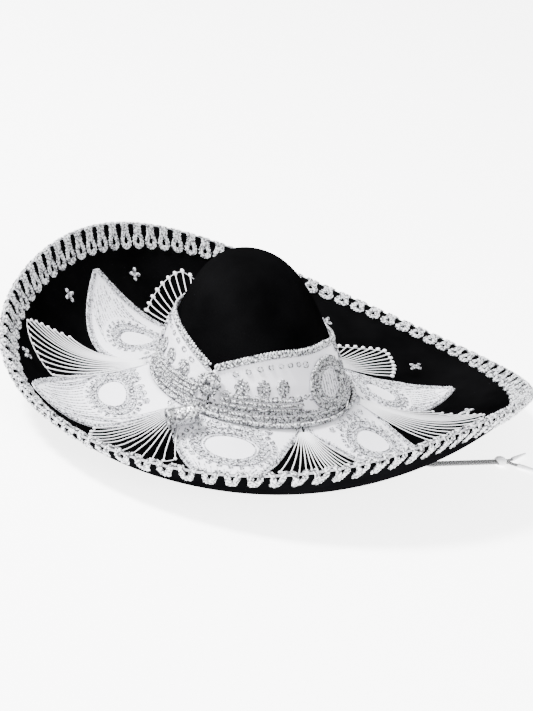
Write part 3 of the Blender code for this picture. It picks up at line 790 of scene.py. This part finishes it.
def petalHalf(shape, share):
    _, radius = sheetRadius(shape, share)
    taper = 1 - (np.clip(share, 0, None) / (shape[2] + 0.015)) ** shape[6]
    flare = petal["flare"] * np.clip(1 - share / petal["flareEnd"], 0, 1) ** 1.5
    return np.minimum(shape[3] * np.clip(taper, 0, 1) + flare, math.radians(petal["sector"]) * radius)


def addPetal(number, shape):
    middle = shape[:2]
    width = slopeLength(math.radians(shape[0]))
    share = petal["start"] + (shape[2] - petal["start"]) * np.sin(np.linspace(0, 1, 44) * math.pi / 2)
    across = np.linspace(-1, 1, 33)
    half = petalHalf(shape, share)
    x = half[:, None] * across[None]
    swell = petal["puff"] * (1 - across[None] ** 4) * np.clip(half / 0.012, 0, 1)[:, None]
    level = petal["lift"] + petal["overlap"] * (number % 2)
    top = patchPoint(middle, x, share[:, None] + 0 * x, level + swell)
    under = patchPoint(middle, x, share[:, None] + 0 * x, level - 0.0003 + 0 * swell)
    skin = Skin()
    skin.grid(np.concatenate([top, under[:, ::-1]], 1)[::-1], closeCols=True, caps=True)
    skin.build(f"petal_{number}_satin", "white_satin", "hat", [f"petal_{number}"])
    lift = level + petal["puff"]
    stitch = Skin()
    addBorder(stitch, shape, width, lift)
    addWreath(stitch, shape, width, lift)
    stitch.build(f"petal_{number}_stitches", "silver_thread", "hat", finish="petalStitch")


def addBorder(stitch, shape, width, lift):
    middle = shape[:2]
    edge = np.linspace(petal["start"] + 0.004, shape[2] - 0.003, 150)
    rim = petalHalf(shape, edge)
    inner = np.maximum(rim - petal["border"], 0.0012)
    for side in (-1, 1):
        patchLine(stitch, middle, side * (rim - 0.0006), edge, lift - 0.0002, petal["edgeCord"],
                  kind="twist", strands=2, lay=0.0036)
        patchLine(stitch, middle, side * inner, edge, lift + 0.0002, petal["innerCord"],
                  kind="twist", strands=2, lay=0.0032)
        rows = np.arange(petal["start"] + 0.006, shape[2] - 0.01, petal["stitchStep"] / width)
        for i, at in enumerate(rows):
            outer = float(petalHalf(shape, at)) - 0.0008
            near = max(outer - petal["border"] + 0.0008, 0.0010)
            slant = (0.0016 if i % 2 else -0.0016) / width
            patchLine(stitch, middle, np.array([outer, (outer + near) / 2, near]) * side,
                      at + np.array([-slant, 0, slant]), lift + 0.0003, petal["stitch"], sides=4)
        dots = np.arange(petal["start"] + 0.03, shape[2] - 0.08, petal["dotStep"] / width)
        for at in dots:
            place = float(petalHalf(shape, at)) - petal["border"] - 0.0026
            if place > 0.004:
                centre = patchPoint(middle, side * place, at, lift + 0.0004)
                up = patchNormal(middle, side * place, at)
                out = unit(np.cross(up, [0.3, 0.7, 0.1]))
                stitch.bead(centre, np.stack([up, out, np.cross(up, out)]), (0.0006, 0.0009, 0.0009), 3, 5)


def addWreath(stitch, shape, width, lift):
    middle = shape[:2]
    at = shape[5]
    a, b = shape[7:]
    angle = ringTurns(110)
    for scale, radius in petal["rings"]:
        patchLine(stitch, middle, a * scale * np.cos(angle), at + b * scale * np.sin(angle) / width,
                  lift + radius * 0.7, radius, closed=True, kind="twist", strands=2, lay=0.0046)
    wavy = ringTurns(300)
    for phase in (0, math.pi):
        ripple = 0.75 + 0.075 * np.sin(petal["ripples"] * wavy + phase)
        patchLine(stitch, middle, a * ripple * np.cos(wavy), at + b * ripple * np.sin(wavy) / width,
                  lift + 0.0008, 0.0007, closed=True, sides=4)
    loop = ringTurns(10)
    for k in range(petal["leaves"]):
        turn = k * math.tau / petal["leaves"]
        for lean, size in petal["leafPair"]:
            cx, cy = a * petal["leafReach"] * math.cos(turn), b * petal["leafReach"] * math.sin(turn)
            out = math.atan2(cy, cx) + lean
            lx = cx + size * np.cos(loop) * math.cos(out) - size * 0.45 * np.sin(loop) * math.sin(out)
            ly = cy + size * np.cos(loop) * math.sin(out) + size * 0.45 * np.sin(loop) * math.cos(out)
            patchLine(stitch, middle, lx, at + ly / width, lift + 0.0005, 0.0006, sides=4, closed=True)
    for k in range(petal["rays"]):
        turn = math.pi * (0.5 + (k / (petal["rays"] - 1) - 0.5) * petal["raySpread"])
        x0, y0 = a * petal["rayStart"] * math.cos(turn), b * petal["rayStart"] * math.sin(turn)
        reach = (shape[2] - at) * width - y0 - 0.010 - 0.45 * abs(x0)
        r = np.linspace(0, 1, 10)
        lx = x0 * (1 - 0.35 * r)
        ly = y0 + r * max(reach * (0.8 + 0.2 * (k % 2)), 0.004)
        limit = petalHalf(shape, at + ly / width) - petal["border"] - 0.0035
        keep = np.abs(lx) < limit
        if keep.sum() > 3:
            patchLine(stitch, middle, lx[keep], (at + ly / width)[keep], lift + 0.0002, petal["ray"], sides=4)
    sprig = np.linspace(0, 1, 30)
    for side in (-1, 1):
        for base, curl in petal["curls"]:
            spin = sprig * 2.2 * math.tau
            lx = side * (base + curl * (1 - sprig) * np.cos(spin))
            ly = -b * 1.0 + 0.20 * base + curl * (1 - sprig) * np.sin(spin) - 0.004
            patchLine(stitch, middle, lx, np.maximum(at + ly / width, 0.02), lift + 0.0004, 0.0006, sides=4)


print("petals")
for i, shape in enumerate(petal["places"]):
    addPetal(i + 1, shape)


# Fans of long white stitches between the petals
fan = {
    # direction and half angle in degrees, then where the middle and the sides end
    "places": ((39.5, 12.5, 0.79, 0.53), (88.0, 11.0, 0.70, 0.50), (145.0, 16.5, 0.83, 0.59),
               (216.5, 12.5, 0.88, 0.64), (267.0, 14.5, 0.77, 0.40), (332.5, 17.0, 0.66, 0.36)),
    "threads": 15, "start": 0.050, "root": 3.0, "arch": 1.4, "radius": 0.00058, "lift": 0.0066,
    "taut": 0.35, "edge": 0.00045,
    # bobbles at the outer ends: half sizes, and how large they are on each fan
    "knob": (0.0023, 0.0019, 0.0014), "knobs": (0.8, 1.25, 1.35, 0.8, 0.9, 0.9),
}


def addFan(number, shape):
    turn, halfAngle, end, sideEnd = shape
    skin = Skin()
    size = fan["knobs"][number - 1]
    t = np.linspace(0, 1, 26)
    for k in range(fan["threads"]):
        place = 2 * k / (fan["threads"] - 1) - 1
        reach = end - (end - sideEnd) * abs(place) ** fan["arch"]
        share = fan["start"] + (reach - fan["start"]) * t
        spread = fan["root"] + (halfAngle - fan["root"]) * t
        start = onBrim(np.radians(turn + fan["root"] * place), fan["start"], fan["lift"])
        lying = onBrim(np.radians(turn + spread * place), share, fan["lift"] + 0 * t)
        normals = brimFrame(np.radians(turn + spread * place), share)[2]
        chord = start + (lying[-1] - start) * t[:, None]
        line = lying + (chord - lying) * fan["taut"]
        skin.bar(line, normals, fan["radius"], sides=6)
        outward = unit(line[-1] - line[-3])
        axes = np.stack([outward, unit(np.cross(normals[-1], outward)), normals[-1]])
        skin.bead(line[-1] + outward * 0.0012, axes, np.array(fan["knob"]) * size)
    fine = np.linspace(-1, 1, 90)
    reach = end - (end - sideEnd) * np.abs(fine) ** fan["arch"]
    arch = onBrim(np.radians(turn + halfAngle * fine), reach + 0.004, 0.0050 + 0 * fine)
    skin.bar(arch, brimFrame(np.radians(turn + halfAngle * fine), reach)[2], fan["edge"], sides=5)
    skin.build(f"threadFan_{number}", "white_thread", "hat", [f"thread_fan_{number}"])


print("fans")
for i, shape in enumerate(fan["places"]):
    addFan(i + 1, shape)


# Small four-petal flowers near the rim
flower = {"turn": 15.0, "reach": 0.0044, "petal": (0.0034, 0.0023, 0.0012), "lift": 0.0050}


def addFlowers():
    for i in range(2 * len(petal["places"])):
        side = -1 if i % 2 == 0 else 1
        middle, swing, end, _, share = petal["places"][i // 2][:5]
        turn = math.radians(middle + swing * end + side * flower["turn"])
        point, outward, normal = (np.squeeze(part) for part in brimFrame([turn], [share]))
        centre = point + normal * flower["lift"]
        across = np.cross(normal, outward)
        skin = Skin()
        for k in range(4):
            angle = k * math.pi / 2 + 0.12 * side
            out = outward * math.cos(angle) + across * math.sin(angle)
            axes = np.stack([out, np.cross(normal, out), normal])
            skin.bead(centre + out * flower["reach"], axes, flower["petal"], rings=7, sides=10)
        skin.bead(centre + normal * 0.0006, np.stack([outward, across, normal]), (0.0007, 0.0007, 0.0007))
        skin.build(f"flower_{i + 1:02d}_stitches", "silver_thread", "hat", [f"flower_{i + 1:02d}"])


print("flowers")
addFlowers()


# Hatband: satin halves, braid along the top, rope, rosettes and medallions
band = {
    "lift": 0.0004, "thickness": 0.0012, "foot": 0.0045, "notchTop": 0.041, "sideTop": 0.064,
    "notchWidth": 50.0, "backDip": 0.010, "dipFrom": 95, "dipOver": 50, "seam": 0.6, "braidSeam": 2.0,
    "ropeHeight": 0.021, "ropeTurns": (7, 57), "footRadius": 0.0024,
    # each cord's height and radius
    "ropes": ((0.0, 0.0020), (0.0042, 0.0017), (-0.0038, 0.0015)),
    "footCords": ((0.0105, 0.0020), (0.0144, 0.0013)), "scallops": 78,
}


def bandTop(turn):
    away = np.abs((np.degrees(turn - front) + 180) % 360 - 180)
    rise = np.sin(math.pi / 2 * np.minimum(away / band["notchWidth"], 1)) ** 0.8
    back = np.clip((away - band["dipFrom"]) / band["dipOver"], 0, 1)
    return band["notchTop"] + (band["sideTop"] - band["notchTop"]) * rise - band["backDip"] * back


def halfTurns(side, count, seam):
    seam = math.radians(seam)
    return front + side * seam + side * (math.pi - 2 * seam) * np.arange(count + 1) / count


def crownLine(skin, turn, height, lift, radius, **how):
    turn, height = np.broadcast_arrays(np.asarray(turn, float), np.asarray(height, float))
    points = onCrown(turn, height, np.full(turn.shape, lift))
    layCord(skin, points, crownNormal(turn, height), radius, **how)


def addBandSatin(side, label):
    turn = halfTurns(side, 110, band["seam"])[::side]
    level = np.linspace(0, 1, 14)
    height = band["foot"] + (bandTop(turn)[None] - band["foot"]) * level[:, None]
    fold = 0.00035 * np.sin(height * 420 + 2.2 * np.sin(turn * 3)[None]) * np.sin(math.pi * level)[:, None]
    wide = np.broadcast_to(turn, height.shape)
    outer = onCrown(wide, height, band["lift"] + band["thickness"] + fold)
    inner = onCrown(wide, height, np.full(height.shape, band["lift"]))
    loop = np.concatenate([outer, inner[::-1]])
    skin = Skin()
    skin.grid(loop, closeRows=True)
    for column, flip in ((0, 1), (-1, -1)):
        skin.grid(np.stack([loop[:len(level), column], loop[len(level):, column][::-1]], 1)[::flip])
    skin.build(f"bandSatin_{label}", "band_satin", "hat", [f"hatband_{label}"])


def addBandCords(side, label):
    trim = Skin()
    edge = halfTurns(side, 620, band["braidSeam"])
    crownLine(trim, edge, bandTop(edge) + 0.0006, 0.0026, 0.0027, kind="plait",
              rise=0.0009, strand=0.00095, lay=0.0098)
    trim.build(f"bandBraid_{label}", "silver_braid", "hat", [f"band_braid_{label}"])
    rope = Skin()
    turn = front + side * np.radians(np.linspace(*band["ropeTurns"], 160))
    for step, radius in band["ropes"]:
        crownLine(rope, turn, band["ropeHeight"] + step, 0.0040, radius, kind="twist", strands=3, lay=0.0085)
    rope.build(f"bandRope_{label}", "silver_rope", "hat", [f"band_rope_{label}"])


def addFootCords():
    turn = ringTurns(900)
    skin = Skin()
    reach = band["lift"] + band["thickness"] + 0.0003 + band["footRadius"]
    height = hat["topLift"] + hat["topLayer"] + 0.0006 + band["footRadius"]
    line = crownBase(turn, np.zeros_like(turn), -reach) + [0, 0, height]
    skin.twist(line, [0, 0, 1.0], band["footRadius"], 3, 0.011, closed=True)
    for height, radius in band["footCords"]:
        crownLine(skin, turn, height, 0.0030, radius, closed=True, kind="twist", strands=2, lay=0.0075)
    scallop = 0.0078 + 0.0016 * np.cos(turn * band["scallops"])
    crownLine(skin, turn, scallop, 0.0032, 0.0010, closed=True)
    skin.build("bandFootCord", "silver_cord", "hat", ["band_foot_cord"])


def ringOnCrown(skin, middle, height, radii, lift, radius, count=28, **rest):
    angle = ringTurns(count)
    around = float(footRadius(np.array(middle)))
    crownLine(skin, middle + radii[0] * np.cos(angle) / around, height + radii[1] * np.sin(angle), lift,
              radius, closed=True, **rest)


def stoneOnCrown(skin, middle, height, size, lift=0.0022):
    centre = onCrown(np.array([middle]), np.array([height]), np.array([lift]))[0]
    normal = crownNormal(np.array([middle]), np.array([height]))[0]
    side = unit(np.cross([0, 0, 1.0], normal))
    axes = np.stack([normal, side, np.cross(normal, side)])
    skin.kind = 1
    skin.bead(centre, axes, (size * 0.6, size, size), rings=4, sides=6)
    skin.kind = 0


# Places are in degrees from the front; a row is start, stop, step and the gap left for the medallion
ornament = {
    "rosettes": (18, 31, 44, 126, 139, 152, 165), "loops": 8, "loopReach": 0.0048, "loopSize": 0.0023,
    "lowRow": (12, 64, 7.0, 64, 64), "lowHeight": 0.0138,
    "leafRow": (10, 178, 5.6, 62, 114), "leafWidth": 0.0030, "leafLength": 0.0062,
    "topRow": (14, 178, 7.5, 64, 112), "topDrop": 0.0088,
    "sidePairs": (66, 120, 133.5, 147, 160.5, 174), "pairHeights": (0.0265, 0.054),
    "pairSize": (0.0042, 0.0026),
}


def placesInRow(side, row):
    start, stop, step, gapStart, gapStop = row
    for away in np.arange(start, stop, step):
        if not gapStart < away < gapStop:
            yield away, front + side * math.radians(away)


def addRosette(skin, middle, height):
    around = float(footRadius(np.array(middle)))
    reach, size = ornament["loopReach"], ornament["loopSize"]
    for turn in ringTurns(ornament["loops"]):
        x, y = reach * math.cos(turn), reach * math.sin(turn)
        ringOnCrown(skin, middle + x / around, height + y, (size, size), 0.0028, 0.0010, count=9, sides=4)
    stoneOnCrown(skin, middle, height, 0.0022, 0.0026)


def addBandOrnaments(side, label):
    skin = Skin()
    for away in ornament["rosettes"]:
        height = 0.036 if away > 100 else 0.032 + 0.0001 * away
        addRosette(skin, front + side * math.radians(away), height)
    for _, middle in placesInRow(side, ornament["lowRow"]):
        ringOnCrown(skin, middle, ornament["lowHeight"], (0.0034, 0.0029), 0.0022, 0.0006, count=18,
                    kind="twist", strands=2, lay=0.003)
        stoneOnCrown(skin, middle + side * 0.038, ornament["lowHeight"], 0.0011)
    t = np.linspace(0, 1, 12)
    for away, middle in placesInRow(side, ornament["leafRow"]):
        height, length = (0.0255, 0.6) if away < ornament["leafRow"][3] else (0.0240, 1.6)
        for lean in (-1, 1):
            x = lean * ornament["leafWidth"] * np.sin(t * math.pi) / hat["crownHalfWidth"]
            crownLine(skin, middle + x, height + ornament["leafLength"] * t * length, 0.0030, 0.0007, sides=4)
    for _, middle in placesInRow(side, ornament["topRow"]):
        top = float(bandTop(np.array(middle))) - ornament["topDrop"]
        ringOnCrown(skin, middle, top, (0.0030, 0.0019), 0.0026, 0.0006, count=14, sides=4)
    line = np.linspace(64, 176, 260)[90:]
    zigzag = 0.0052 * np.abs(((line * 0.24) % 2) - 1)
    crownLine(skin, front + side * np.radians(line), 0.018 + zigzag, 0.0022, 0.0007)
    for away in ornament["sidePairs"]:
        middle = front + side * math.radians(away)
        for height in ornament["pairHeights"]:
            ringOnCrown(skin, middle, height, ornament["pairSize"], 0.0022, 0.0006, count=16)
            stoneOnCrown(skin, middle, height, 0.0011)
    skin.build(f"bandOrnaments_{label}", "silver_cord", "hat", (), ["stone"])


medal = {
    "halfWidth": 0.036, "halfHeight": 0.0225, "height": 0.033, "away": 88.0, "loops": 34, "stitches": 7,
    # share of the size and height above the crown, from the middle to the edge and under it
    "profile": ((0.02, 0.0046), (0.3, 0.0044), (0.55, 0.0038), (0.75, 0.0030), (0.98, 0.0028),
                (0.99, 0.0019), (0.5, 0.0019), (0.02, 0.0019)),
    "cords": ((0.97, 0.0022, 0.0042), (0.83, 0.0012, 0.0040), (0.70, 0.0021, 0.0044), (0.56, 0.0011, 0.0046)),
    "stones": ((0, 0.006), (0.007, 0.001), (-0.007, 0.001), (0.0045, -0.006), (-0.0045, -0.006)),
}


def addMedallion(middle, label):
    wide, tall, level = medal["halfWidth"], medal["halfHeight"], medal["height"]
    around = hat["crownHalfWidth"]
    angle = ringTurns(72)
    rows = [onCrown(middle + share * wide * np.cos(angle) / around, level + share * tall * np.sin(angle),
                    np.full(angle.shape, lift)) for share, lift in medal["profile"]]
    cloth = Skin()
    cloth.grid(np.stack(rows[::-1]), closeCols=True, caps=True)
    cloth.build(f"medallionSatin_{label}", "band_satin", "hat")
    skin = Skin()
    for share, radius, lift in medal["cords"]:
        ringOnCrown(skin, middle, level, (share * wide, share * tall), lift, radius, count=150,
                    kind="twist", strands=2, lay=0.0052)
    for x in np.linspace(-0.42, 0.42, medal["stitches"]):
        reach = 0.46 * math.sqrt(1 - (x / 0.56) ** 2)
        rise = np.linspace(-reach, reach, 12) * tall
        crownLine(skin, middle + x * wide / around, level + rise, 0.0049, 0.0004, sides=4)
    for turn in ringTurns(medal["loops"]):
        x, y = 0.91 * wide * math.cos(turn) / around, 0.91 * tall * math.sin(turn)
        ringOnCrown(skin, middle + x, level + y, (0.0014, 0.0014), 0.0046, 0.00045, count=8, sides=4)
    for x, y in medal["stones"]:
        stoneOnCrown(skin, middle + x / around, level + y, 0.0012, 0.0052)
    skin.build(f"medallion_{label}_cords", "medallion_silver", "hat", [f"medallion_{label}"], ["stone"])


print("hatband")
for side, label in ((1, "left"), (-1, "right")):
    addBandSatin(side, label)
    addBandCords(side, label)
    addBandOrnaments(side, label)
    addMedallion(front + side * math.radians(medal["away"]), label)
addFootCords()


# Knot at the front and the rolled barrel under it
knot = {"radius": 0.0085, "round": 0.0034, "height": 0.030}


def addKnot():
    low, high = (np.array(corner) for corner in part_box("rosette_knot"))
    centre = (low + high) / 2
    normal = crownNormal(np.array([front]), np.array([knot["height"]]))[0]
    side = unit(np.cross([0, 0, 1.0], normal))
    up = np.cross(normal, side)
    t = np.linspace(0, math.tau, 520, endpoint=False)
    skin = Skin()
    for size, lift in ((1.0, 0.0), (0.62, 0.0022)):
        wind = (knot["radius"] + knot["round"] * 0.75 * np.cos(7 * t)) * size
        flat = (np.cos(2 * t) * wind, np.sin(2 * t) * wind, lift + knot["round"] * 0.5 * np.sin(7 * t))
        path = centre + side * flat[0][:, None] + up * flat[1][:, None] + normal * flat[2][:, None]
        skin.twist(path, normal, 0.0019, 3, 0.0058, closed=True)
    for hand in (-1, 1):
        s = np.linspace(0, 1, 60)
        tail = (centre + side * (hand * (0.006 + 0.006 * s))[:, None] - up * (0.007 + 0.007 * s)[:, None]
                + normal * (0.001 + 0.002 * np.sin(s * math.pi))[:, None])
        skin.twist(tail, normal, 0.0012, 2, 0.004)
    skin.build("frontKnot", "silver_cord", "hat", ["rosette_knot"])


tassel = {"radius": 0.0100, "length": 0.030, "from": 0.0130, "heading": 35.0, "rest": 0.0090}


def brimAt(turn, reach, shift, lift):
    # A point out from the crown along a turn, then moved sideways
    radius = footRadius(turn) + reach
    x, y = radius * math.cos(turn) + shift[0], radius * math.sin(turn) + shift[1]
    turn = math.atan2(y, x)
    share = (math.hypot(x, y) - footRadius(turn)) / (brimRadius(turn) - footRadius(turn))
    return onBrim(turn, share, lift)


def tasselSeat():
    turned = math.radians(tassel["heading"])
    heading = np.array([-math.sin(turned), -math.cos(turned)])
    inner = brimAt(front, tassel["from"], (0.0, 0.0), tassel["rest"])
    outer = brimAt(front, tassel["from"], heading * tassel["length"], tassel["rest"])
    outward = unit(outer - inner)
    return inner, outward, unit(np.cross(outward, [-heading[1], heading[0], 0]))


def addTassel():
    inner, outward, normal = tasselSeat()
    across = np.cross(normal, outward)
    centre = inner + normal * tassel["radius"]
    r, end = tassel["radius"], tassel["length"]
    profile = [(0.0, 0.05), (0.0004, 0.5), (0.0010, 0.86), (0.0035, 0.97), (0.008, 0.95), (0.015, 0.90),
               (0.022, 0.92), (0.027, 0.97), (end - 0.003, 0.985), (end - 0.0012, 0.96),
               (end - 0.0004, 0.86), (end - 0.0006, 0.70), (end - 0.0030, 0.62), (end - 0.0065, 0.50),
               (end - 0.0070, 0.05)]
    angle = ringTurns(72)
    spokes = across * np.cos(angle)[:, None] + normal * np.sin(angle)[:, None]
    rows = []
    for reach, share in profile:
        ripple = 1 + 0.018 * np.sin(9 * angle + 60 * reach) * (0.3 < share)
        rows.append(centre + outward * reach + spokes * (r * share * ripple)[:, None])
    skin = Skin()
    skin.grid(np.stack(rows), closeCols=True, caps=True)
    skin.build("tasselBarrel", "lame_roll", "tassel", ["tassel_barrel"])
    cords = Skin()
    fine = ringTurns(130)
    spokes = across * np.cos(fine)[:, None] + normal * np.sin(fine)[:, None]
    for reach, share, radius in ((end - 0.0016, 0.88, 0.0013), (0.0016, 0.88, 0.0010),
                                 (end - 0.0075, 0.96, 0.0005), (end - 0.0028, 0.50, 0.0009)):
        cords.twist(centre + outward * reach + spokes * (r * share), outward, radius, 2, 0.0035, closed=True)
    cords.build("tasselCords", "silver_cord", "tassel")


print("knot and tassel")
addKnot()
addTassel()


# Pieces whose shape is already right take their finish
for node in ("rim_wire", "cord_anchor_left", "cord_anchor_right", "slider_bead"):
    piece = frame["nodes"][node]
    slotName = next(part["material_slot"] for part in frame["record"]["subparts"] if part["node"] == node)
    piece.data.materials.clear()
    piece.data.materials.append(finishes[slotName])
